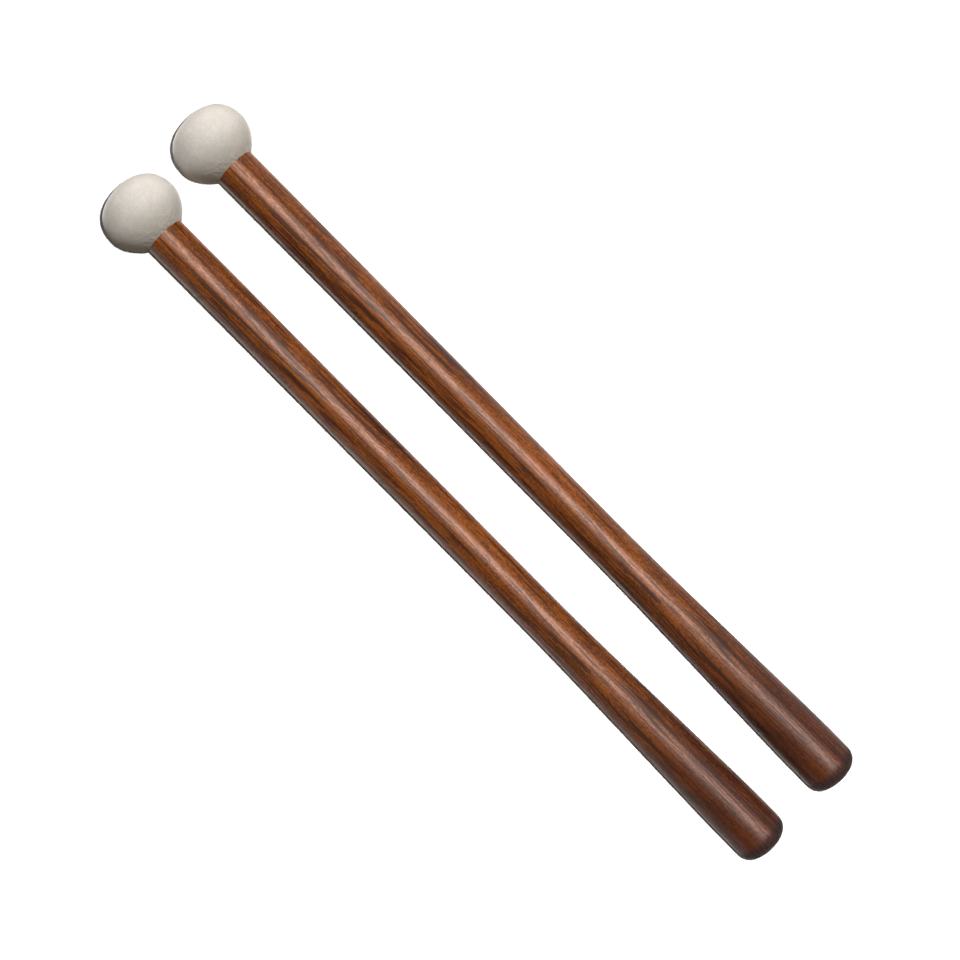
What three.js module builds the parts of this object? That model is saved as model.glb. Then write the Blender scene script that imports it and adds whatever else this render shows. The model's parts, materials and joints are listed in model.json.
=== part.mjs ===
// A pair of bass drum mallets: turned hardwood shafts with a flared grip, each glued into a ball of hard felt.
// Lengths are in millimetres. A mallet is drawn along its own +X, with the butt end at 0 and the felt at the far
// end, and then laid on z = 0, where it rests on the widest ring of its head and of its grip.

import * as THREE from 'three';

// The whole mallet, and the pair
const TOTAL_LENGTH = 368.3;
const GAP_BETWEEN_HEADS = 6.2;

// Felt head: a nose that is a little flattened, and a nape that draws in to the shaft
const HEAD_RADIUS = 16.35;
const HEAD_LENGTH = 25.95;
const NOSE_LENGTH = 14.45;
const SEAT_OVERHANG = 0.25;

// Shaft: crowned butt end, grip, and a conical flare that bends gently into the grip and into the cylinder.
// The flare runs from corner to corner, and each bend has its corner in its middle.
const SHAFT_RADIUS = 8.5;
const SHOULDER_CHAMFER = 0.3;
const GRIP_RADIUS = 11;
const BUTT_FLAT_RADIUS = 3;
const CROWN_LENGTH = 7.9;
const GRIP_LENGTH = 4;
const GRIP_BEND_LENGTH = 19.8;
const FLARE_LENGTH = 96;
const CYLINDER_BEND_LENGTH = 47.6;

// Tenon: the end of the shaft that is glued into the head
const TENON_RADIUS = 4.76;
const TENON_LENGTH = 15.9;
const TIP_CHAMFER = 0.8;
const GROOVE_WIDTH = 1.8;
const GROOVE_DEPTH = 0.5;
const GROOVE_COUNT = 3;

// Glue film, and the clearance that keeps two pieces apart where they meet
const BOND_THICKNESS = 0.4;
const FIT_CLEARANCE = 0.3;

// How far out each rounded form stands on the diagonal of its quarter, where a circle stands at 0.707
const NOSE_DIAGONAL_SHARE = 0.747;
const NAPE_DIAGONAL_SHARE = 0.669;
const CROWN_DIAGONAL_SHARE = 0.767;

// Fineness of the turned surfaces
const TURN_SEGMENTS = 48;
const BEND_STEPS = 5;
const NOSE_STEPS = 10;
const NAPE_STEPS = 7;
const CROWN_STEPS = 8;

// Places along the mallet that follow from the sizes above
const gripEnd = CROWN_LENGTH + GRIP_LENGTH;
const gripCorner = gripEnd + GRIP_BEND_LENGTH / 2;
const cylinderCorner = gripCorner + FLARE_LENGTH;
const shoulder = TOTAL_LENGTH - HEAD_LENGTH;
const equator = TOTAL_LENGTH - NOSE_LENGTH;
const tenonTip = shoulder + TENON_LENGTH;
const bondInnerEnd = tenonTip + FIT_CLEARANCE;
const bondOuterEnd = bondInnerEnd + BOND_THICKNESS;
const boreEnd = bondOuterEnd + FIT_CLEARANCE;

// Radii that follow from the sizes above
const seatRadius = SHAFT_RADIUS + SEAT_OVERHANG;
const bondInnerRadius = TENON_RADIUS + FIT_CLEARANCE;
const bondOuterRadius = bondInnerRadius + BOND_THICKNESS;
const boreRadius = bondOuterRadius + FIT_CLEARANCE;

const stainedWood = new THREE.MeshStandardMaterial({ color: 0x6d3a20, roughness: 0.42, metalness: 0 });
const hardFelt = new THREE.MeshStandardMaterial({ color: 0xd9d4c8, roughness: 0.95, metalness: 0 });
const driedGlue = new THREE.MeshStandardMaterial({ color: 0xd9c48c, roughness: 0.5, metalness: 0 });

// A rounded form is a quarter of a superellipse. This is its exponent.
function exponentOf(diagonalShare) {
  return -Math.LN2 / Math.log(diagonalShare);
}

// How far a rounded form reaches one way, where it stands at a given distance the other way.
function reachAt(distance, extent, otherExtent, diagonalShare) {
  const exponent = exponentOf(diagonalShare);
  return otherExtent * (1 - (distance / extent) ** exponent) ** (1 / exponent);
}

// Points of a rounded form from its widest ring towards its tip, as far as the radius lastRadius. Each has its
// distance past the ring and its radius.
function roundedForm(length, radius, diagonalShare, lastRadius, steps) {
  const power = 2 / exponentOf(diagonalShare);
  const lastAngle = Math.acos((lastRadius / radius) ** (1 / power));
  return Array.from({ length: steps + 1 }, (_, step) => {
    const angle = (lastAngle * step) / steps;
    const across = step === steps ? lastRadius : radius * Math.cos(angle) ** power;
    return { distance: length * Math.sin(angle) ** power, radius: across };
  });
}

// Radius of the straight cone between grip and cylinder.
function flareRadius(along) {
  return THREE.MathUtils.lerp(GRIP_RADIUS, SHAFT_RADIUS, (along - gripCorner) / FLARE_LENGTH);
}

// Draws the tenon's side, with its V-shaped glue grooves, from the shoulder towards the tip. The glue's inner wall
// is the same line, one clearance further out.
function addGroovedSide(path, radius) {
  const pitch = TENON_LENGTH / (GROOVE_COUNT + 1);
  for (let groove = 1; groove <= GROOVE_COUNT; groove++) {
    const middle = shoulder + groove * pitch;
    path.lineTo(radius, middle - GROOVE_WIDTH / 2);
    path.lineTo(radius - GROOVE_DEPTH, middle);
    path.lineTo(radius, middle + GROOVE_WIDTH / 2);
  }
}

// Outline of the shaft, from the flat on its butt to the tip of its tenon. Outlines hold radius and place along.
function shaftOutline() {
  const path = new THREE.Path();
  path.moveTo(0, 0);
  const crown = roundedForm(CROWN_LENGTH, GRIP_RADIUS, CROWN_DIAGONAL_SHARE, BUTT_FLAT_RADIUS, CROWN_STEPS);
  const stretch = CROWN_LENGTH / crown.at(-1).distance;
  crown.reverse().forEach(({ distance, radius }) => path.lineTo(radius, CROWN_LENGTH - distance * stretch));

  const coneStart = gripEnd + GRIP_BEND_LENGTH;
  const coneEnd = cylinderCorner - CYLINDER_BEND_LENGTH / 2;
  path.lineTo(GRIP_RADIUS, gripEnd);
  path.quadraticCurveTo(GRIP_RADIUS, gripCorner, flareRadius(coneStart), coneStart);
  path.lineTo(flareRadius(coneEnd), coneEnd);
  path.quadraticCurveTo(SHAFT_RADIUS, cylinderCorner, SHAFT_RADIUS, coneEnd + CYLINDER_BEND_LENGTH);

  path.lineTo(SHAFT_RADIUS, shoulder - SHOULDER_CHAMFER);
  path.lineTo(SHAFT_RADIUS - SHOULDER_CHAMFER, shoulder);
  path.lineTo(TENON_RADIUS, shoulder);
  addGroovedSide(path, TENON_RADIUS);
  path.lineTo(TENON_RADIUS, tenonTip - TIP_CHAMFER);
  path.lineTo(TENON_RADIUS - TIP_CHAMFER, tenonTip);
  path.lineTo(0, tenonTip);
  return path.getPoints(BEND_STEPS);
}

// Outline of the felt, from the bottom of its bore round the seat, the nape and the nose to the pole.
function headOutline() {
  const path = new THREE.Path();
  const seat = shoulder + FIT_CLEARANCE;
  path.moveTo(0, boreEnd);
  path.lineTo(boreRadius, boreEnd);
  path.lineTo(boreRadius, seat);

  const seatDropShare = reachAt(seatRadius, HEAD_RADIUS, 1, NAPE_DIAGONAL_SHARE);
  const napeLength = (equator - seat) / seatDropShare;
  const nape = roundedForm(napeLength, HEAD_RADIUS, NAPE_DIAGONAL_SHARE, seatRadius, NAPE_STEPS);
  nape.reverse().forEach(({ distance, radius }) => path.lineTo(radius, equator - distance));

  const nose = roundedForm(NOSE_LENGTH, HEAD_RADIUS, NOSE_DIAGONAL_SHARE, 0, NOSE_STEPS);
  nose.slice(1).forEach(({ distance, radius }) => path.lineTo(radius, equator + distance));
  return path.getPoints();
}

// Outline of the glue: a cup over the tenon, with a ring inside it for each groove.
function bondOutline() {
  const path = new THREE.Path();
  const mouth = shoulder + FIT_CLEARANCE;
  path.moveTo(bondInnerRadius, mouth);
  addGroovedSide(path, bondInnerRadius);
  path.lineTo(bondInnerRadius, bondInnerEnd - TIP_CHAMFER);
  path.lineTo(bondInnerRadius - TIP_CHAMFER, bondInnerEnd);
  path.lineTo(0, bondInnerEnd);
  const inside = path.getPoints().reverse();

  const outside = [
    new THREE.Vector2(bondOuterRadius, mouth),
    new THREE.Vector2(bondOuterRadius, bondOuterEnd),
    new THREE.Vector2(0, bondOuterEnd),
  ];
  return [...inside, ...outside];
}

// A piece turned about the X axis from its outline. A flat of the many-sided ring faces straight down.
function turned(name, outline, material) {
  const halfSegment = Math.PI / TURN_SEGMENTS;
  const geometry = new THREE.LatheGeometry(outline, TURN_SEGMENTS, halfSegment);
  geometry.rotateZ(-Math.PI / 2);
  const mesh = new THREE.Mesh(geometry, material);
  mesh.name = name;
  return mesh;
}

// The angle at which the head's widest ring and the grip's both touch the surface that the mallet lies on.
function restingTilt() {
  const flatDistanceShare = Math.cos(Math.PI / TURN_SEGMENTS);
  const drop = (HEAD_RADIUS - GRIP_RADIUS) * flatDistanceShare;
  return Math.atan2(drop, equator - CROWN_LENGTH);
}

function mallet(side) {
  const group = new THREE.Group();
  group.add(
    turned(`${side}_shaft`, shaftOutline(), stainedWood),
    turned(`${side}_felt_head`, headOutline(), hardFelt),
    turned(`${side}_glue_bond`, bondOutline(), driedGlue),
  );
  group.rotation.y = -restingTilt();
  return group;
}

// The two mallets side by side, heads level, with the origin under the middle of their box.
function malletPair() {
  const pair = new THREE.Group();
  const left = mallet('left');
  const right = mallet('right');
  left.position.y = HEAD_RADIUS + GAP_BETWEEN_HEADS / 2;
  right.position.y = -left.position.y;
  pair.add(left, right);

  const box = new THREE.Box3().setFromObject(pair, true);
  const middle = box.getCenter(new THREE.Vector3());
  pair.position.set(-middle.x, -middle.y, -box.min.z);
  return pair;
}

const part = new THREE.Group();
part.add(malletPair());

export default part;
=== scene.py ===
"""Looks of a pair of bass drum mallets: stained and lacquered hardwood shafts with hard felt heads.

Each mallet is drawn in its own frame, with the butt end at 0 and the felt at the far end of +X. It is then
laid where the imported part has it. Lengths are in metres, and places inside the materials in millimetres.
"""

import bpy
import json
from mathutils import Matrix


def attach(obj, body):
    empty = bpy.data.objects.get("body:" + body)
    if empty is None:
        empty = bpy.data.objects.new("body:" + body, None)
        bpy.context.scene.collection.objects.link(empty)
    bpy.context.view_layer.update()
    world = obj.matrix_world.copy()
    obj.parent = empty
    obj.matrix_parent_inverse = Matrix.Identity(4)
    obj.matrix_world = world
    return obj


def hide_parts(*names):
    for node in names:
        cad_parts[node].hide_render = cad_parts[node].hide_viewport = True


bl_info = {
    "name": "Bass drum mallets",
    "version": (1, 0, 0),
    "blender": (4, 5, 0),
    "location": "3D View > Sidebar > Mallets",
    "description": "Turns the shafts, presses the felt heads and sets up the studio for a pair of mallets",
    "category": "Object",
}

import json
import math

import bmesh
import bpy
from bpy.props import FloatProperty, FloatVectorProperty, IntProperty, PointerProperty
from mathutils import Matrix, Vector, noise

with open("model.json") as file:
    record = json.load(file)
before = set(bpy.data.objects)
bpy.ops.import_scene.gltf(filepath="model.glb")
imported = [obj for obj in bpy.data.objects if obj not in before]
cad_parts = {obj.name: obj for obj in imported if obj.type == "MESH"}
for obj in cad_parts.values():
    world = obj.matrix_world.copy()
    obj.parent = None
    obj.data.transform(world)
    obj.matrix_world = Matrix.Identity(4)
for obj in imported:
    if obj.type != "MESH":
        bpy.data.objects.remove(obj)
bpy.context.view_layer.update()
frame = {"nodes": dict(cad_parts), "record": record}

SIDES = ("left", "right")
MM = 0.001

# Parts of the shaft's outline that a user doesn't change
SHOULDER_CHAMFER = 0.3 * MM
BUTT_FLAT_RADIUS = 3 * MM
CROWN_LENGTH = 7.9 * MM
GRIP_LENGTH = 4 * MM
GRIP_BEND_LENGTH = 19.8 * MM
CYLINDER_BEND_LENGTH = 47.6 * MM
TIP_CHAMFER = 0.8 * MM
GROOVE_WIDTH = 1.8 * MM
GROOVE_DEPTH = 0.5 * MM
GROOVE_COUNT = 3

# Seat of the head: the clearance and the glue film of the solids, how close the felt is pressed to the shaft,
# and how far its lip reaches past the shoulder
FIT_CLEARANCE = 0.3 * MM
BOND_THICKNESS = 0.4 * MM
SEAT_GAP = 0.03 * MM
LIP_REACH = 0.28 * MM

# How far out each rounded form stands on the diagonal of its quarter, where a circle stands at 0.707
NOSE_DIAGONAL_SHARE = 0.747
NAPE_DIAGONAL_SHARE = 0.669
CROWN_DIAGONAL_SHARE = 0.767

# Fineness of the turned surfaces
RING_SPACING = 2 * MM
BEND_STEPS = 16
CROWN_STEPS = 26
NAPE_STEPS = 44
NOSE_STEPS = 60
SHARP_ANGLE = math.radians(35)

# Studio floor, which turns up into a low wall a long way off
FLOOR_RADIUS = 2.4
COVE_RADIUS = 0.6
WALL_HEIGHT = 0.8
COVE_STEPS = 9
FLOOR_SEGMENTS = 96

# The floor has no glow of its own inside the first radius, and its full glow outside the second
CLEAR_RADIUS = 0.2
GLOW_RADIUS = 0.7

# The floor's colour as the camera sees it, as the gloss shows it, and as it lights the mallets from below
FLOOR_SEEN = (1, 1, 1, 1)
FLOOR_IN_GLOSS = (0.7, 0.7, 0.7, 1)
FLOOR_THROWN_BACK = (0.2, 0.165, 0.12, 1)

# Colour of the even light from all round
SKY_COLOUR = (1, 0.93, 0.84, 1)

# Camera: its place over the pair, the directions of the picture's right and upper sides, and the width of its
# film in millimetres
CAMERA_PLACE = (0.00152, -0.00112)
PICTURE_RIGHT = Vector((-0.7036, -0.7106, 0))
PICTURE_UP = Vector((0.7106, -0.7036, 0))
FILM_WIDTH = 36

# Lamps: where each one hangs, and its length and width
GLOSS_STRIP = ((0.0, -0.22, 1.0), (1.5, 0.45))
EDGE_STRIP = ((0.3, -1.2, 0.35), (1.8, 0.7))
TOP_LAMP = ((0.33, -0.4, 1.06), (0.5, 0.3))
SIDE_LAMP = ((0.9, -0.9, 0.2), (1.2, 0.36))
FLOOR_LAMP = ((-0.01, -0.046, 0.739), (0.015, 0.015))

# Direction of the gloss strip's long side
GLOSS_STRIP_LINE = (1, 0.2, 0)

# Inside of the felt, which has no relief: up to this share of the shaft's radius and of the tenon's length
INSIDE_RADIUS_SHARE = 1.02
INSIDE_LENGTH_SHARE = 1.2

# Relief of the pressed felt: width of its lumps and how far they stand, from broad to fine
FELT_RELIEF = ((9 * MM, 0.045 * MM), (2.4 * MM, 0.025 * MM), (0.8 * MM, 0.02 * MM))
LUMP_SMOOTHNESS = 0.8

# Short creases in the felt: how far from the shoulder they reach, how high and how wide they are, and how
# many times longer they are along the mallet than across it
CREASE_REACH = 8 * MM
CREASE_HEIGHT = 0.22 * MM
CREASE_WIDTH = 1.1 * MM
CREASE_STRETCH = 3
CREASE_SMOOTHNESS = 0.9

# Lumps and creases both have this many octaves, each this much finer than the one before it. The smoother
# they are, the fainter their finer octaves.
OCTAVES = 3
OCTAVE_STEP = 2.1

# Kinds of mark in the grain: how often each comes round along, across and through a mallet, per millimetre,
# where in its noise it starts and is full, and the detail and roughness of that noise
RINGS = ((0.006, 0.3, 0.14), (0.42, 0.64), 1.0, 0.5)
BOLD_LINES = ((0.032, 0.85, 0.5), (0.6, 0.65), 1.0, 0.5)
FINE_LINES = ((0.055, 1.35, 0.9), (0.58, 0.62), 1.0, 0.5)
PORES = ((0.4, 2.1, 2.1), (0.57, 0.63), 1.0, 0.5)
FIBRE = ((0.06, 1.5, 1.1), (0.34, 0.66), 3.0, 0.65)
FLECKS = ((0.75, 1.9, 1.9), (0.43, 0.57), 3.0, 0.75)
PATCHES = ((0.022, 0.17, 0.12), (0.36, 0.64), 2.0, 0.5)

# How much the rings add to the density, and how much the density brings out the two kinds of line
RING_DENSITY = 0.5
BOLD_CROWDING = 0.07
FINE_CROWDING = 0.09

# How dark the fine lines and the pores are, where a bold line is 1
FINE_DARKNESS = 0.85
PORE_DARKNESS = 0.48

# What each part adds to the tone between light and deep wood, and how far the fibre stands up in the relief
FLECK_TONE = 0.42
FIBRE_TONE = 0.4
PATCH_TONE = 0.18
DENSE_TONE = 0.08
FIBRE_RISE = 0.3

# How far the growth layers lean out of the upright, how often they wander aside, per millimetre along, across
# and through a mallet, and how far in millimetres
LAYER_LEAN = math.radians(18)
LAYER_BOW = (0.009, 0.06, 0.04)
LAYER_WANDER = 3.5

# Half the height of a dark or pale layer, which goes right through the wood, and the shares of its reach at
# which it starts and is full
LAYER_HEIGHT = 60.0
LAYER_EDGE = (1.0, 0.35)

# What changes along a mallet: where the change starts and ends, in millimetres from the butt, and the value
# before and after it. In order: darkness of the lines and pores, stain that gathers in the grip, end grain
# with painted shade on the crown, where it turns away from the light, roughness of the lacquer, what hands
# have polished off it, and painted shade on the felt's nape, darker towards the shaft.
PORE_DEPTH = (34.0, 90.0, 0.7, 0.88)
GRIP_STAIN = (96.0, 34.0, 0.0, 0.85)
END_GRAIN_AND_SHADE = (8.2, 5.4, 0.0, 1.0)
LACQUER_ROUGHNESS = (120.0, 90.0, 0.3, 0.42)
HANDLED_POLISH = (70.0, 50.0, 0.0, -0.05)
PAINTED_NAPE_SHADE = (353.0, 343.0, 0.0, 1.0)

# The same across a shaft, in millimetres from its middle: what is added to the tone on its upper right side
# and on its lower left side, as the picture shows it. This is painted light: the wood is lighter on the lower
# left side, which lies in shade, and a little deeper on the lit upper right side.
PAINTED_SIDE_TONE = (-6.0, 4.0, 0.05, -0.13)

# Tones at which the wood has its light and its deep colour
TONE_LIMITS = (0.18, 0.82)

# What the lines, the tone and the end grain add to the roughness of the wood
LINE_ROUGHNESS = 0.12
TONE_ROUGHNESS = 0.05
END_GRAIN_ROUGHNESS = 0.25

# Mottling: detail, roughness and distortion of its broad clouds, detail and roughness of its fine specks, and
# how far the clouds stand up in the relief, where the specks stand up by 1
BROAD_MOTTLE = (3.0, 0.55, 0.4)
FINE_MOTTLE = (4.0, 0.65)
BROAD_RISE = 0.6

# Felt: its shares of broad cloud and fine speck, the values of the two together at which it has its light and
# its dark colour, and its roughness, as what the specks add and what there is without them
CLOUD_SHARE = 0.35
SPECK_SHARE = 0.65
FELT_LIMITS = (0.66, 0.34)
FELT_ROUGHNESS = (0.1, 0.88)

# Glue: how much lighter it is where it is thin, the values of the clouds at which it is thick and thin, and
# its roughness, given as for the felt
THIN_GLUE_GAIN = 1.25
GLUE_LIMITS = (0.35, 0.65)
GLUE_ROUGHNESS = (0.2, 0.35)

# Fine relief of each surface: its strength and its depth
WOOD_GRAIN = (0.4, 0.06 * MM)
FELT_NAP = (0.6, 0.14 * MM)
GLUE_WRINKLES = (0.3, 0.1 * MM)

# Tints laid over the colours of the wood and the felt, and the tint of the lacquer's gloss. The crown's tint
# is partly darker end grain and partly painted shade, and the nape's tint is painted shade.
GRIP_TINT = (0.44, 0.33, 0.45, 1)
END_GRAIN_AND_SHADE_TINT = (0.36, 0.2, 0.2, 1)
PAINTED_NAPE_SHADE_TINT = (0.91, 0.905, 0.85, 1)
LACQUER_TINT = (1, 0.88, 0.82, 1)


class MalletSizes(bpy.types.PropertyGroup):
    """Sizes of one mallet."""

    total_length: FloatProperty(
        name="Length", description="Whole length of a mallet", default=368.3 * MM, unit="LENGTH")
    shaft_radius: FloatProperty(
        name="Shaft Radius", description="Radius of the plain cylinder",
        default=8.5 * MM, unit="LENGTH")
    grip_radius: FloatProperty(
        name="Grip Radius", description="Radius of the grip at the butt",
        default=11 * MM, unit="LENGTH")
    flare_length: FloatProperty(
        name="Flare Length", description="Length of the flare from the grip's corner to the cylinder's",
        default=96 * MM, unit="LENGTH")
    head_radius: FloatProperty(
        name="Head Radius", description="Largest radius of the felt head",
        default=16.35 * MM, unit="LENGTH")
    head_length: FloatProperty(
        name="Head Length", description="Length of the felt from the shoulder to its tip",
        default=25.95 * MM, unit="LENGTH")
    nose_length: FloatProperty(
        name="Nose Length", description="Length of the felt from its widest ring to its tip",
        default=14.45 * MM, unit="LENGTH")
    tenon_radius: FloatProperty(
        name="Tenon Radius", description="Radius of the tenon inside the felt",
        default=4.76 * MM, unit="LENGTH")
    tenon_length: FloatProperty(
        name="Tenon Length", description="Length of the tenon inside the felt",
        default=15.9 * MM, unit="LENGTH")
    segments: IntProperty(
        name="Segments", description="Faces round a turned piece", default=192, min=24)


class MalletFinish(bpy.types.PropertyGroup):
    """Colours of the wood, the felt and the glue."""

    wood_light: FloatVectorProperty(
        name="Light Wood", description="Stained wood between the pores", subtype="COLOR", size=4,
        default=(0.352, 0.096, 0.0125, 1))
    wood_deep: FloatVectorProperty(
        name="Deep Wood", description="Stained wood in the dense layers", subtype="COLOR", size=4,
        default=(0.085, 0.018, 0.0018, 1))
    wood_pore: FloatVectorProperty(
        name="Pores", description="Stain that has gathered in the pores", subtype="COLOR", size=4,
        default=(0.03, 0.0065, 0.002, 1))
    felt: FloatVectorProperty(
        name="Felt", description="Pressed wool felt", subtype="COLOR", size=4,
        default=(0.69, 0.642, 0.585, 1))
    # Darker felt where the mottle is low, which is also where its fine relief lies low: partly random
    # mottling and partly painted shade in the hollows
    felt_shade: FloatVectorProperty(
        name="Felt Hollows", description="Felt in the hollows between its lumps", subtype="COLOR", size=4,
        default=(0.6, 0.553, 0.495, 1))
    glue: FloatVectorProperty(
        name="Glue", description="Dried glue inside the head", subtype="COLOR", size=4,
        default=(0.62, 0.47, 0.2, 1))


class MalletStudio(bpy.types.PropertyGroup):
    """Camera, lamps and floor."""

    camera_height: FloatProperty(
        name="Camera Height", description="Height of the camera above the floor",
        default=0.7367, unit="LENGTH")
    lens: FloatProperty(
        name="Lens", description="Focal length in millimetres", default=68.17, unit="CAMERA")
    gloss_power: FloatProperty(
        name="Gloss Strip", description="Power of the long strip that shows as gloss along the shafts",
        default=27.0, unit="POWER")
    top_power: FloatProperty(
        name="Top Lamp", description="Power of the lamp overhead", default=12.5, unit="POWER")
    floor_power: FloatProperty(
        name="Floor Lamp", description="Power of the lamp that lights the floor alone",
        default=7.15, unit="POWER")
    side_power: FloatProperty(
        name="Side Lamp", description="Power of the low soft lamp beside the heads",
        default=6.6, unit="POWER")
    edge_power: FloatProperty(
        name="Edge Strip", description="Power of the wide dim strip that shows along the far edges",
        default=1.6, unit="POWER")
    sky: FloatProperty(
        name="Sky", description="Strength of the even light from all round", default=0.085)
    far_glow: FloatProperty(
        name="Far Glow", description="Glow of the floor and wall where they are far from the pair",
        default=0.9)


# Turned forms. Outlines are lists of (place along the mallet, radius).


def rounded_form(length, radius, diagonal_share, last_radius, steps):
    """Points of a rounded form, from its widest ring to where it has the last radius: (distance, radius)."""
    power = 2 * math.log(diagonal_share) / -math.log(2)
    last_angle = math.acos((last_radius / radius) ** (1 / power))
    points = []
    for step in range(steps + 1):
        angle = last_angle * step / steps
        across = last_radius if step == steps else radius * math.cos(angle) ** power
        points.append((length * math.sin(angle) ** power, across))
    return points


def nape_drop_share(radius, widest):
    """Share of the nape's full length at which it has drawn in from its widest radius to the given one."""
    exponent = -math.log(2) / math.log(NAPE_DIAGONAL_SHARE)
    return (1 - (radius / widest) ** exponent) ** (1 / exponent)


def bend(start, corner, end, steps):
    """Points of a curve that leaves start towards corner and comes to end from corner."""
    points = []
    for step in range(1, steps + 1):
        share = step / steps
        weights = ((1 - share) ** 2, 2 * share * (1 - share), share ** 2)
        pulls = list(zip(weights, (start, corner, end)))
        points.append(tuple(sum(weight * point[axis] for weight, point in pulls) for axis in (0, 1)))
    return points


def straight(start, end, spacing):
    """Points of a straight line, with rings at about the given spacing."""
    steps = max(1, round(abs(end[0] - start[0]) / spacing))
    return [tuple(start[axis] + (end[axis] - start[axis]) * step / steps for axis in (0, 1))
            for step in range(1, steps + 1)]


def shaft_outline(sizes):
    """Outline of the shaft from the flat on its butt to the tip of its tenon."""
    grip, cylinder = sizes.grip_radius, sizes.shaft_radius
    shoulder = sizes.total_length - sizes.head_length
    grip_end = CROWN_LENGTH + GRIP_LENGTH
    grip_corner = grip_end + GRIP_BEND_LENGTH / 2
    cylinder_corner = grip_corner + sizes.flare_length

    def flare_point(along):
        share = (along - grip_corner) / sizes.flare_length
        return along, grip + (cylinder - grip) * share

    crown = rounded_form(CROWN_LENGTH, grip, CROWN_DIAGONAL_SHARE, BUTT_FLAT_RADIUS, CROWN_STEPS)
    stretch = CROWN_LENGTH / crown[-1][0]
    points = [(0, 0), (0, BUTT_FLAT_RADIUS / 2)]
    points += [(CROWN_LENGTH - distance * stretch, radius) for distance, radius in reversed(crown)]
    points += straight(points[-1], (grip_end, grip), RING_SPACING)
    cone_start = flare_point(grip_end + GRIP_BEND_LENGTH)
    points += bend(points[-1], (grip_corner, grip), cone_start, BEND_STEPS)
    cone_end = flare_point(cylinder_corner - CYLINDER_BEND_LENGTH / 2)
    points += straight(cone_start, cone_end, RING_SPACING)
    bend_end = (cone_end[0] + CYLINDER_BEND_LENGTH, cylinder)
    points += bend(cone_end, (cylinder_corner, cylinder), bend_end, BEND_STEPS)
    points += straight(bend_end, (shoulder - SHOULDER_CHAMFER, cylinder), RING_SPACING)
    points += [(shoulder, cylinder - SHOULDER_CHAMFER), (shoulder, sizes.tenon_radius)]
    for groove in range(1, GROOVE_COUNT + 1):
        middle = shoulder + groove * sizes.tenon_length / (GROOVE_COUNT + 1)
        points += [
            (middle - GROOVE_WIDTH / 2, sizes.tenon_radius),
            (middle, sizes.tenon_radius - GROOVE_DEPTH),
            (middle + GROOVE_WIDTH / 2, sizes.tenon_radius)]
    tip = shoulder + sizes.tenon_length
    points += [(tip - TIP_CHAMFER, sizes.tenon_radius), (tip, sizes.tenon_radius - TIP_CHAMFER)]
    return points + [(tip, 0)]


def head_outline(sizes):
    """Outline of the felt: from the end of its bore round the lip, the nape and the nose to the tip."""
    shoulder = sizes.total_length - sizes.head_length
    equator = sizes.total_length - sizes.nose_length
    bore_radius = sizes.tenon_radius + 2 * FIT_CLEARANCE + BOND_THICKNESS
    bore_end = shoulder + sizes.tenon_length + 2 * FIT_CLEARANCE + BOND_THICKNESS
    seat = shoulder + SEAT_GAP
    points = [(bore_end, 0), (bore_end, bore_radius), (seat, bore_radius)]
    points += [(seat, sizes.shaft_radius - SHOULDER_CHAMFER)]

    lip_radius = sizes.shaft_radius + SEAT_GAP
    nape_length = (equator - shoulder + LIP_REACH) / nape_drop_share(lip_radius, sizes.head_radius)
    nape = rounded_form(nape_length, sizes.head_radius, NAPE_DIAGONAL_SHARE, lip_radius, NAPE_STEPS)
    points += [(equator - distance, radius) for distance, radius in reversed(nape)]
    nose = rounded_form(sizes.nose_length, sizes.head_radius, NOSE_DIAGONAL_SHARE, 0, NOSE_STEPS)
    return points + [(equator + distance, radius) for distance, radius in nose[1:]]


def turned_piece(name, outline, segments):
    """An object turned about its own X axis from an outline, and closed where that meets the axis."""
    body = bmesh.new()
    rings = []
    for along, radius in outline:
        if radius == 0:
            rings.append([body.verts.new((along, 0, 0))] * segments)
            continue
        ring = []
        for n in range(segments):
            turn = 2 * math.pi * n / segments
            ring.append(body.verts.new((along, radius * math.sin(turn), radius * math.cos(turn))))
        rings.append(ring)
    for near, far in zip(rings, rings[1:]):
        for n in range(segments):
            corners = (near[n], near[n - 1], far[n - 1], far[n])
            body.faces.new(dict.fromkeys(corners))
    bmesh.ops.recalc_face_normals(body, faces=body.faces)
    mesh = bpy.data.meshes.new(name)
    body.to_mesh(mesh)
    body.free()
    mesh.shade_smooth()
    mesh.set_sharp_from_angle(angle=SHARP_ANGLE)
    piece = bpy.data.objects.new(name, mesh)
    bpy.context.scene.collection.objects.link(piece)
    return piece


def press_felt(piece, sizes):
    """Raises and lowers the outside of the felt a little, as pressed wool is never quite even."""
    shoulder = sizes.total_length - sizes.head_length
    inner_radius = sizes.shaft_radius * INSIDE_RADIUS_SHARE
    inner_end = shoulder + sizes.tenon_length * INSIDE_LENGTH_SHARE
    normals = [vertex.normal.copy() for vertex in piece.data.vertices]
    for vertex, normal in zip(piece.data.vertices, normals):
        along, across = vertex.co.x, math.hypot(vertex.co.y, vertex.co.z)
        if across < inner_radius and along < inner_end:
            continue
        rise = 0
        for width, height in FELT_RELIEF:
            rise += height * noise.fractal(vertex.co / width, LUMP_SMOOTHNESS, OCTAVE_STEP, OCTAVES)
        crease = max(0, 1 - (along - shoulder) / CREASE_REACH)
        crease_place = Vector((along / CREASE_STRETCH, vertex.co.y, vertex.co.z)) / CREASE_WIDTH
        crease *= noise.fractal(crease_place, CREASE_SMOOTHNESS, OCTAVE_STEP, OCTAVES)
        vertex.co += normal * (rise + crease * CREASE_HEIGHT)
    piece.data.update()


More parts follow.
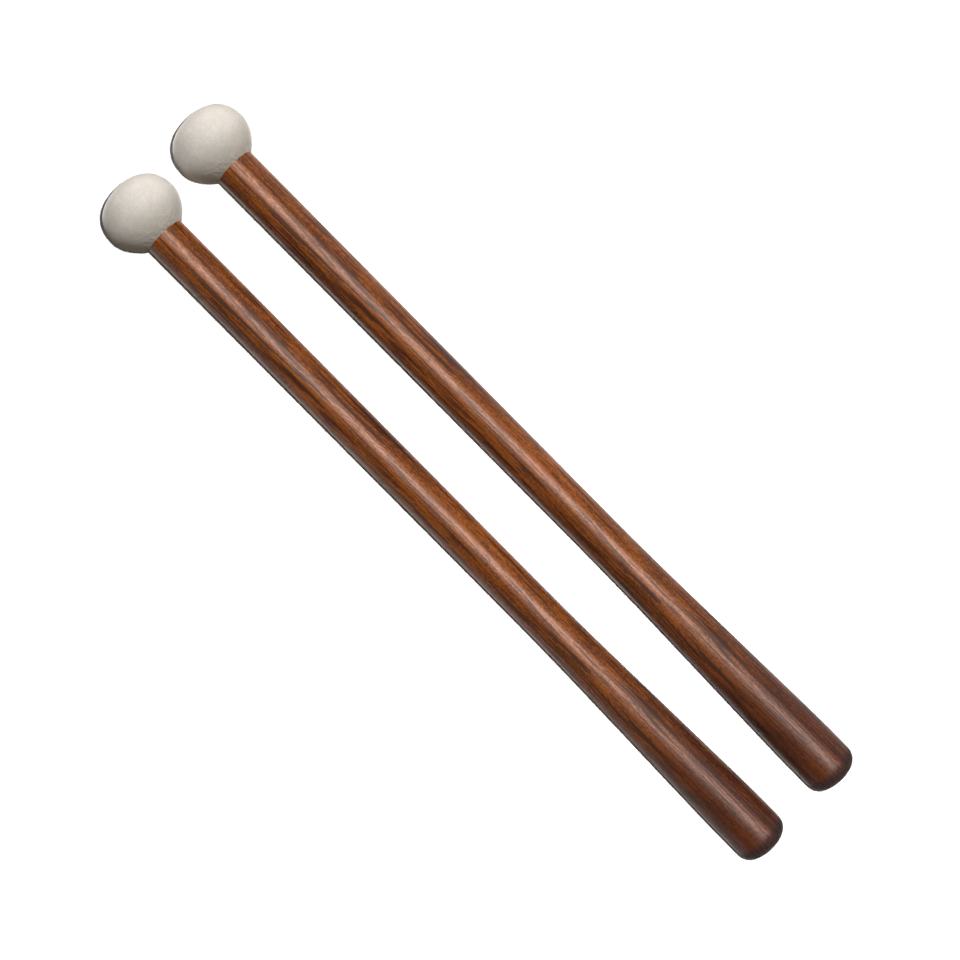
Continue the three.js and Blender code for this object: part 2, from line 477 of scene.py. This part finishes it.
def resting_place(side):
    """Matrix from a mallet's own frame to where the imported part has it, taken from its butt face."""
    face = next(m for m in frame["record"]["mounts"] if m["name"] == f"{side}_butt_face")
    along = -Vector(face["axis"]).normalized()
    across = Vector((0, 1, 0))
    up = along.cross(across)
    turn = Matrix((along, across, up)).transposed().to_4x4()
    return Matrix.Translation(Vector(face["pos_m"])) @ turn


def lay_down(piece, side, node, material):
    """Lays a piece on its mallet's body, in the place of its CAD node."""
    piece.matrix_world = resting_place(side)
    piece.data.materials.append(material)
    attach(piece, f"{side}_mallet")
    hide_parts(node)


# Node trees

FLOAT, VECTOR = "NodeSocketFloat", "NodeSocketVector"


class NodeBench:
    """Places nodes in a tree, and gives back the socket that a later node needs."""

    def __init__(self, tree):
        self.tree = tree

    def put(self, kind, inputs=None, **settings):
        """A new node. An input that is given a socket is linked to it, and any other is set to the value."""
        node = self.tree.nodes.new(kind)
        for setting, value in settings.items():
            setattr(node, setting, value)
        for key, value in (inputs or {}).items():
            if isinstance(value, bpy.types.NodeSocket):
                self.tree.links.new(value, node.inputs[key])
            else:
                node.inputs[key].default_value = value
        return node

    def math(self, operation, *values):
        return self.put("ShaderNodeMath", dict(enumerate(values)), operation=operation).outputs[0]

    def vector(self, operation, *values):
        node = self.put("ShaderNodeVectorMath", dict(enumerate(values)), operation=operation)
        return node.outputs["Value" if operation == "LENGTH" else "Vector"]

    def blend(self, share, first, second, blend_type="MIX"):
        colours = {0: share, 6: first, 7: second}
        return self.put("ShaderNodeMix", colours, data_type="RGBA", blend_type=blend_type).outputs[2]

    def spread(self, value, low, high, to_low=0.0, to_high=1.0, smooth=True):
        node = self.put(
            "ShaderNodeMapRange",
            {"Value": value, "From Min": low, "From Max": high, "To Min": to_low, "To Max": to_high},
            interpolation_type="SMOOTHSTEP" if smooth else "LINEAR")
        return node.outputs["Result"]

    def cloud(self, place, scale, detail, roughness=0.5, distortion=0.0):
        node = self.put(
            "ShaderNodeTexNoise",
            {"Vector": place, "Scale": scale, "Detail": detail, "Roughness": roughness,
             "Distortion": distortion})
        return node.outputs["Fac"]

    def dress(self, shader, colour, rough, height, relief_strength, relief_depth):
        """Gives a surface its colour, its roughness and its fine relief."""
        relief = self.put(
            "ShaderNodeBump", {"Strength": relief_strength, "Distance": relief_depth, "Height": height})
        self.tree.links.new(colour, shader.inputs["Base Color"])
        self.tree.links.new(rough, shader.inputs["Roughness"])
        self.tree.links.new(relief.outputs["Normal"], shader.inputs["Normal"])


def new_group(name, inputs, outputs):
    """A shader node group with named sockets: its bench, the sockets it takes from and those it gives to."""
    tree = bpy.data.node_groups.new(name, "ShaderNodeTree")
    for label, kind, value in inputs:
        socket = tree.interface.new_socket(label, in_out="INPUT", socket_type=kind)
        socket.default_value = value
    for label, kind in outputs:
        tree.interface.new_socket(label, in_out="OUTPUT", socket_type=kind)
    bench = NodeBench(tree)
    taken = bench.put("NodeGroupInput")
    given = bench.put("NodeGroupOutput")
    return bench, taken.outputs, given.inputs


def new_material(name):
    """A material with its bench and its Principled shader."""
    material = bpy.data.materials.new(name)
    material.use_nodes = True
    shader = material.node_tree.nodes["Principled BSDF"]
    return material, NodeBench(material.node_tree), shader


def grain_layer_group():
    """One long thin layer through the wood, strongest in its middle."""
    bench, taken, given = new_group(
        "Grain layer",
        [("Place", VECTOR, (0, 0, 0)), ("Middle", VECTOR, (0, 0, 0)), ("Turn", VECTOR, (0, 0, 0)),
         ("Reach", VECTOR, (1, 1, 1))],
        [("Mask", FLOAT)])
    inside = bench.put(
        "ShaderNodeMapping",
        {"Vector": taken["Place"], "Location": taken["Middle"], "Rotation": taken["Turn"],
         "Scale": taken["Reach"]},
        vector_type="TEXTURE")
    off = bench.vector("LENGTH", inside.outputs["Vector"])
    bench.tree.links.new(bench.spread(off, *LAYER_EDGE), given["Mask"])
    return bench.tree


def grain_group():
    """Hardwood grain along X, for places in millimetres. Its lines crowd together where the wood is dense."""
    bench, taken, given = new_group(
        "Hardwood grain",
        [("Place", VECTOR, (0, 0, 0)), ("Density", FLOAT, 0.0)],
        [("Lines", FLOAT), ("Tone", FLOAT), ("Height", FLOAT)])
    turned = bench.put(
        "ShaderNodeVectorRotate", {"Vector": taken["Place"], "Angle": LAYER_LEAN}, rotation_type="X_AXIS")
    bow = bench.cloud(bench.vector("MULTIPLY", turned.outputs["Vector"], LAYER_BOW), 1.0, 1.0)
    aside = bench.put("ShaderNodeCombineXYZ", {"Y": bench.math("MULTIPLY", bow, LAYER_WANDER)})
    place = bench.vector("ADD", turned.outputs["Vector"], aside.outputs["Vector"])

    def marks(kind, density=None, crowding=0.0):
        """Marks of one kind. Where a density is given, it brings out more of them."""
        often, limits, detail, roughness = kind
        noise_value = bench.cloud(bench.vector("MULTIPLY", place, often), 1.0, detail, roughness)
        if density is not None:
            noise_value = bench.math("MULTIPLY_ADD", density, crowding, noise_value)
        return bench.spread(noise_value, *limits)

    dense = bench.math("MULTIPLY_ADD", marks(RINGS), RING_DENSITY, taken["Density"])
    bold = marks(BOLD_LINES, dense, BOLD_CROWDING)
    fine = marks(FINE_LINES, dense, FINE_CROWDING)
    pores = marks(PORES)
    lines = bench.math("MAXIMUM", bold, bench.math("MULTIPLY", fine, FINE_DARKNESS))
    lines = bench.math("MAXIMUM", lines, bench.math("MULTIPLY", pores, PORE_DARKNESS))

    fibre, fleck, patch = marks(FIBRE), marks(FLECKS), marks(PATCHES)
    tone = bench.math("MULTIPLY_ADD", fleck, FLECK_TONE, bench.math("MULTIPLY", fibre, FIBRE_TONE))
    tone = bench.math("MULTIPLY_ADD", patch, PATCH_TONE, tone)
    tone = bench.math("MULTIPLY_ADD", dense, DENSE_TONE, tone)
    height = bench.math("MULTIPLY_ADD", lines, -1.0, bench.math("MULTIPLY", fibre, FIBRE_RISE))
    for label, socket in (("Lines", lines), ("Tone", tone), ("Height", height)):
        bench.tree.links.new(socket, given[label])
    return bench.tree


def mottle_group():
    """Soft uneven mottling for places in millimetres."""
    bench, taken, given = new_group(
        "Soft mottle",
        [("Place", VECTOR, (0, 0, 0)), ("Broad", FLOAT, 0.2), ("Fine", FLOAT, 2.0)],
        [("Cloud", FLOAT), ("Speck", FLOAT), ("Height", FLOAT)])
    broad = bench.cloud(taken["Place"], taken["Broad"], *BROAD_MOTTLE)
    fine = bench.cloud(taken["Place"], taken["Fine"], *FINE_MOTTLE)
    height = bench.math("MULTIPLY_ADD", broad, BROAD_RISE, fine)
    for label, socket in (("Cloud", broad), ("Speck", fine), ("Height", height)):
        bench.tree.links.new(socket, given[label])
    return bench.tree


def mottle_on(bench, place, broad, fine):
    """A mottling node on a bench. Its group is built the first time that it is asked for."""
    tree = bpy.data.node_groups.get("Soft mottle") or mottle_group()
    return bench.put("ShaderNodeGroup", {"Place": place, "Broad": broad, "Fine": fine}, node_tree=tree)


def place_in_mm(bench):
    """Place on the piece in its own frame, in millimetres."""
    where = bench.put("ShaderNodeTexCoord").outputs["Object"]
    return bench.vector("MULTIPLY", where, (1 / MM, 1 / MM, 1 / MM))


# Layers through the wood, seen from above: start and end along the mallet, start and end across it, half the
# width, and the strength, which is below 0 where a layer is paler than the rest. Places are in millimetres.
GRAIN_LAYERS = (
    (346, 324, -6.8, -7.0, 1.0, 0.8),
    (340, 318, -3.0, -5.6, 1.5, 0.5),
    (350, 314, 1.9, 2.2, 0.6, 0.8),
    (350, 308, 5.2, 5.0, 2.2, 0.6),
    (330, 294, 2.0, 3.4, 2.2, 1.0),
    (318, 256, 3.6, 4.8, 2.2, 0.7),
    (310, 288, -7.0, -7.0, 0.7, 0.6),
    (308, 256, 1.1, 1.3, 1.0, -0.8),
    (292, 248, -3.4, -0.8, 2.0, 1.0),
    (270, 222, -4.3, -3.5, 1.6, 0.7),
    (264, 220, -2.0, 1.2, 0.4, 0.9),
    (268, 232, 4.4, 4.6, 1.6, 0.7),
    (244, 218, -7.0, -7.0, 0.8, 0.6),
    # A long pale layer on the upper right side of the middle stretch: partly paler wood and partly a painted
    # highlight that widens the gloss
    (236, 72, -4.2, -4.2, 5.2, -1.2),
    (216, 189, 4.0, 4.2, 0.9, 0.8),
    (226, 186, 1.6, 1.8, 1.3, -0.6),
    (194, 164, 0.8, 1.0, 0.8, 0.7),
    (190, 144, 3.2, 3.2, 1.8, -0.9),
    (204, 166, -7.0, -7.2, 0.8, 0.5),
    (162, 126, -5.4, -5.2, 0.8, 0.5),
    (154, 98, 2.0, 2.8, 1.9, 0.55),
    (134, 98, 4.6, 4.8, 1.3, -0.6),
    (104, 74, -1.7, -3.6, 1.1, 0.7),
    (98, 62, -3.0, -5.2, 1.7, 0.45),
    (100, 44, -1.4, -0.9, 0.7, 0.8),
    (105, 78, 3.0, 3.4, 2.3, -0.9),
    (90, 16, 4.6, 5.4, 1.5, 0.5),
    (62, 8, 2.0, 2.6, 1.6, 0.6),
)


def add_layers(bench, place):
    """Density of the wood from all the layers listed above."""
    tree = grain_layer_group()
    density = None
    for start, end, first, last, half_width, strength in GRAIN_LAYERS:
        layer = bench.put(
            "ShaderNodeGroup",
            {"Place": place,
             "Middle": ((start + end) / 2, (first + last) / 2, 0),
             "Turn": (0, 0, math.atan2(first - last, start - end)),
             "Reach": ((start - end) / 2, half_width, LAYER_HEIGHT)},
            node_tree=tree)
        share = bench.math("MULTIPLY", layer.outputs["Mask"], strength)
        density = share if density is None else bench.math("ADD", density, share)
    return density


def stained_wood(finish):
    """Hardwood with a reddish-brown stain under a satin lacquer."""
    material, bench, shader = new_material("Stained wood")
    place = place_in_mm(bench)
    density = add_layers(bench, place)
    grain = bench.put("ShaderNodeGroup", {"Place": place, "Density": density}, node_tree=grain_group())
    lines, tone = grain.outputs["Lines"], grain.outputs["Tone"]

    split = bench.put("ShaderNodeSeparateXYZ", {"Vector": place})
    along, across = split.outputs["X"], split.outputs["Y"]
    # Painted light: the tone is lighter on the shaded lower left side of the shaft and a little deeper on its
    # lit upper right side
    shade = bench.math("ADD", tone, bench.spread(across, *PAINTED_SIDE_TONE))
    shade = bench.spread(shade, *TONE_LIMITS, smooth=False)
    colour = bench.blend(shade, finish.wood_light[:], finish.wood_deep[:])
    depth = bench.spread(along, *PORE_DEPTH)
    colour = bench.blend(bench.math("MULTIPLY", lines, depth), colour, finish.wood_pore[:])

    colour = bench.blend(bench.spread(along, *GRIP_STAIN), colour, GRIP_TINT, "MULTIPLY")
    # The crown is darker: partly end grain, which takes more stain, and partly painted shade where it turns
    # away from the light
    end_grain_and_shade = bench.spread(along, *END_GRAIN_AND_SHADE)
    colour = bench.blend(end_grain_and_shade, colour, END_GRAIN_AND_SHADE_TINT, "MULTIPLY")

    rough = bench.spread(along, *LACQUER_ROUGHNESS)
    rough = bench.math("ADD", rough, bench.spread(along, *HANDLED_POLISH))
    rough = bench.math("MULTIPLY_ADD", lines, LINE_ROUGHNESS, rough)
    rough = bench.math("MULTIPLY_ADD", tone, TONE_ROUGHNESS, rough)
    rough = bench.math("MULTIPLY_ADD", end_grain_and_shade, END_GRAIN_ROUGHNESS, rough)
    bench.dress(shader, colour, rough, grain.outputs["Height"], *WOOD_GRAIN)
    shader.inputs["Specular IOR Level"].default_value = 0.36
    shader.inputs["Specular Tint"].default_value = LACQUER_TINT
    return material


def hard_felt(finish):
    """Pressed wool felt, matte and faintly mottled, with painted shade on its nape towards the shaft."""
    material, bench, shader = new_material("Hard felt")
    place = place_in_mm(bench)
    mottle = mottle_on(bench, place, broad=0.22, fine=1.2)
    speck = mottle.outputs["Speck"]
    specks = bench.math("MULTIPLY", speck, SPECK_SHARE)
    share = bench.math("MULTIPLY_ADD", mottle.outputs["Cloud"], CLOUD_SHARE, specks)
    # The felt's mottling is partly random tone and partly painted shade, as its darker colour lies in the
    # hollows of its fine relief
    colour = bench.blend(bench.spread(share, *FELT_LIMITS), finish.felt[:], finish.felt_shade[:])
    along = bench.put("ShaderNodeSeparateXYZ", {"Vector": place}).outputs["X"]
    # Painted shade: the felt is darker and warmer on its nape, towards the shaft
    colour = bench.blend(bench.spread(along, *PAINTED_NAPE_SHADE), colour, PAINTED_NAPE_SHADE_TINT, "MULTIPLY")
    rough = bench.math("MULTIPLY_ADD", speck, *FELT_ROUGHNESS)
    bench.dress(shader, colour, rough, mottle.outputs["Height"], *FELT_NAP)
    shader.inputs["Specular IOR Level"].default_value = 0.2
    shader.inputs["Sheen Weight"].default_value = 0.8
    shader.inputs["Sheen Roughness"].default_value = 0.4
    return material


def dried_glue(finish):
    """Dried wood glue, slightly uneven."""
    material, bench, shader = new_material("Dried glue")
    place = place_in_mm(bench)
    mottle = mottle_on(bench, place, broad=0.5, fine=3.0)
    thin = tuple(min(1, part * THIN_GLUE_GAIN) for part in finish.glue[:3]) + (1,)
    colour = bench.blend(bench.spread(mottle.outputs["Cloud"], *GLUE_LIMITS), finish.glue[:], thin)
    rough = bench.math("MULTIPLY_ADD", mottle.outputs["Speck"], *GLUE_ROUGHNESS)
    bench.dress(shader, colour, rough, mottle.outputs["Height"], *GLUE_WRINKLES)
    return material


def white_floor(studio):
    """White studio floor. The light that it throws back on the mallets is that of a darker one."""
    material, bench, shader = new_material("White floor")
    path = bench.put("ShaderNodeLightPath")
    colour = bench.blend(path.outputs["Is Glossy Ray"], FLOOR_THROWN_BACK, FLOOR_IN_GLOSS)
    colour = bench.blend(path.outputs["Is Camera Ray"], colour, FLOOR_SEEN)
    bench.tree.links.new(colour, shader.inputs["Base Color"])
    seen = bench.math("MAXIMUM", path.outputs["Is Camera Ray"], path.outputs["Is Glossy Ray"])
    seen = bench.math("MAXIMUM", seen, path.outputs["Is Transmission Ray"])
    away = bench.vector("LENGTH", bench.put("ShaderNodeTexCoord").outputs["Object"])
    glow = bench.spread(away, CLEAR_RADIUS, GLOW_RADIUS, 0.0, studio.far_glow)
    bench.tree.links.new(bench.math("MULTIPLY", seen, glow), shader.inputs["Emission Strength"])
    shader.inputs["Emission Color"].default_value = FLOOR_SEEN
    shader.inputs["Roughness"].default_value = 1
    shader.inputs["Specular IOR Level"].default_value = 0
    return material


# Operators


class MALLETS_OT_build_stage(bpy.types.Operator):
    """Lays the white floor and sets up the camera and the lamps"""

    bl_idname = "mallets.build_stage"
    bl_label = "Build Stage"

    def execute(self, context):
        studio = context.scene.mallet_studio
        floor = self.lay_floor(studio)
        self.set_camera(context, studio)
        floor_alone = self.light_set("Floor alone", floor, "INCLUDE")
        all_but_floor = self.light_set("All but the floor", floor, "EXCLUDE")
        gloss = self.hang_lamp(context, "Gloss strip", *GLOSS_STRIP, studio.gloss_power, GLOSS_STRIP_LINE)
        edge = self.hang_lamp(context, "Edge strip", *EDGE_STRIP, studio.edge_power)
        for strip in (gloss, edge):
            strip.visible_diffuse = False
        # Only the floor shades the side lamp, so that neither mallet throws a shadow on the other
        for name, (place, size), power, lit, shading in (
                ("Top lamp", TOP_LAMP, studio.top_power, all_but_floor, None),
                ("Side lamp", SIDE_LAMP, studio.side_power, all_but_floor, floor_alone),
                ("Floor lamp", FLOOR_LAMP, studio.floor_power, floor_alone, None)):
            lamp = self.hang_lamp(context, name, place, size, power)
            lamp.visible_glossy = False
            lamp.light_linking.receiver_collection = lit
            lamp.light_linking.blocker_collection = shading
        world = bpy.data.worlds.new("Studio")
        world.use_nodes = True
        sky = world.node_tree.nodes["Background"].inputs
        sky["Color"].default_value = SKY_COLOUR
        sky["Strength"].default_value = studio.sky
        context.scene.world = world
        context.scene.view_settings.view_transform = "Standard"
        return {"FINISHED"}

    def light_set(self, name, piece, state):
        """A collection that limits a lamp's light or shade to one piece, or keeps it off that piece."""
        members = bpy.data.collections.new(name)
        members.objects.link(piece)
        members.collection_objects[0].light_linking.link_state = state
        return members

    def lay_floor(self, studio):
        """A round floor that turns up into a low wall a long way off."""
        outline = [(0, 0), (0, FLOOR_RADIUS / 2), (0, FLOOR_RADIUS)]
        for step in range(1, COVE_STEPS + 1):
            turn = math.radians(90 * step / COVE_STEPS)
            rise, reach = COVE_RADIUS * (1 - math.cos(turn)), COVE_RADIUS * math.sin(turn)
            outline.append((rise, FLOOR_RADIUS + reach))
        outline += [(WALL_HEIGHT, FLOOR_RADIUS + COVE_RADIUS)]
        floor = turned_piece("Floor", outline, FLOOR_SEGMENTS)
        floor.matrix_world = Matrix.Rotation(math.radians(-90), 4, "Y")
        floor.data.materials.append(white_floor(studio))
        return floor

    def set_camera(self, context, studio):
        """A camera straight above the pair, turned so that the heads are at the upper left."""
        camera = bpy.data.objects.new("Camera", bpy.data.cameras.new("Camera"))
        camera.data.lens = studio.lens
        camera.data.sensor_width = FILM_WIDTH
        back = PICTURE_RIGHT.cross(PICTURE_UP)
        turn = Matrix((PICTURE_RIGHT, PICTURE_UP, back)).transposed().to_4x4()
        camera.matrix_world = Matrix.Translation((*CAMERA_PLACE, studio.camera_height)) @ turn
        context.scene.collection.objects.link(camera)
        context.scene.camera = camera

    def hang_lamp(self, context, name, place, size, power, long_side=(1, 0, 0)):
        """A rectangular lamp that faces the middle of the pair."""
        lamp = bpy.data.lights.new(name, "AREA")
        lamp.shape = "RECTANGLE"
        lamp.size, lamp.size_y = size
        lamp.energy = power
        holder = bpy.data.objects.new(name, lamp)
        place = Vector(place)
        back = place.normalized()
        side = Vector(long_side)
        side = (side - back * side.dot(back)).normalized()
        turn = Matrix((side, back.cross(side), back)).transposed().to_4x4()
        holder.matrix_world = Matrix.Translation(place) @ turn
        holder.visible_camera = False
        context.scene.collection.objects.link(holder)
        return holder


class MALLETS_OT_turn_shafts(bpy.types.Operator):
    """Turns the two shafts and stains and lacquers them"""

    bl_idname = "mallets.turn_shafts"
    bl_label = "Turn Shafts"

    def execute(self, context):
        sizes = context.scene.mallet_sizes
        wood = stained_wood(context.scene.mallet_finish)
        for side in SIDES:
            shaft = turned_piece(f"{side}_turned_shaft", shaft_outline(sizes), sizes.segments)
            lay_down(shaft, side, f"{side}_shaft", wood)
        return {"FINISHED"}


class MALLETS_OT_press_heads(bpy.types.Operator):
    """Presses the two felt heads onto the shoulders of the shafts"""

    bl_idname = "mallets.press_heads"
    bl_label = "Press Felt Heads"

    def execute(self, context):
        sizes = context.scene.mallet_sizes
        felt = hard_felt(context.scene.mallet_finish)
        for side in SIDES:
            head = turned_piece(f"{side}_pressed_head", head_outline(sizes), sizes.segments)
            press_felt(head, sizes)
            lay_down(head, side, f"{side}_felt_head", felt)
        return {"FINISHED"}


class MALLETS_OT_spread_glue(bpy.types.Operator):
    """Gives the glue inside the heads its material"""

    bl_idname = "mallets.spread_glue"
    bl_label = "Spread Glue"

    def execute(self, context):
        glue = dried_glue(context.scene.mallet_finish)
        for side in SIDES:
            bond = frame["nodes"][f"{side}_glue_bond"]
            bond.data.materials.clear()
            bond.data.materials.append(glue)
        return {"FINISHED"}


STEPS = (MALLETS_OT_build_stage, MALLETS_OT_turn_shafts, MALLETS_OT_press_heads, MALLETS_OT_spread_glue)


class MALLETS_PT_sidebar(bpy.types.Panel):
    """Sizes, colours, studio and the steps that build the pair"""

    bl_idname = "MALLETS_PT_sidebar"
    bl_label = "Bass Drum Mallets"
    bl_space_type = "VIEW_3D"
    bl_region_type = "UI"
    bl_category = "Mallets"

    def draw(self, context):
        for group in (context.scene.mallet_sizes, context.scene.mallet_finish, context.scene.mallet_studio):
            box = self.layout.box()
            for label in group.__annotations__:
                box.prop(group, label)
        for step in STEPS:
            self.layout.operator(step.bl_idname)


CLASSES = (MalletSizes, MalletFinish, MalletStudio, *STEPS, MALLETS_PT_sidebar)


def register():
    for cls in CLASSES:
        bpy.utils.register_class(cls)
    bpy.types.Scene.mallet_sizes = PointerProperty(type=MalletSizes)
    bpy.types.Scene.mallet_finish = PointerProperty(type=MalletFinish)
    bpy.types.Scene.mallet_studio = PointerProperty(type=MalletStudio)


def unregister():
    del bpy.types.Scene.mallet_studio, bpy.types.Scene.mallet_finish, bpy.types.Scene.mallet_sizes
    for cls in reversed(CLASSES):
        bpy.utils.unregister_class(cls)


def main():
    """Builds the pair and its stage."""
    register()
    bpy.ops.mallets.build_stage()
    bpy.ops.mallets.turn_shafts()
    bpy.ops.mallets.press_heads()
    bpy.ops.mallets.spread_glue()


if __name__ == "__main__":
    main()
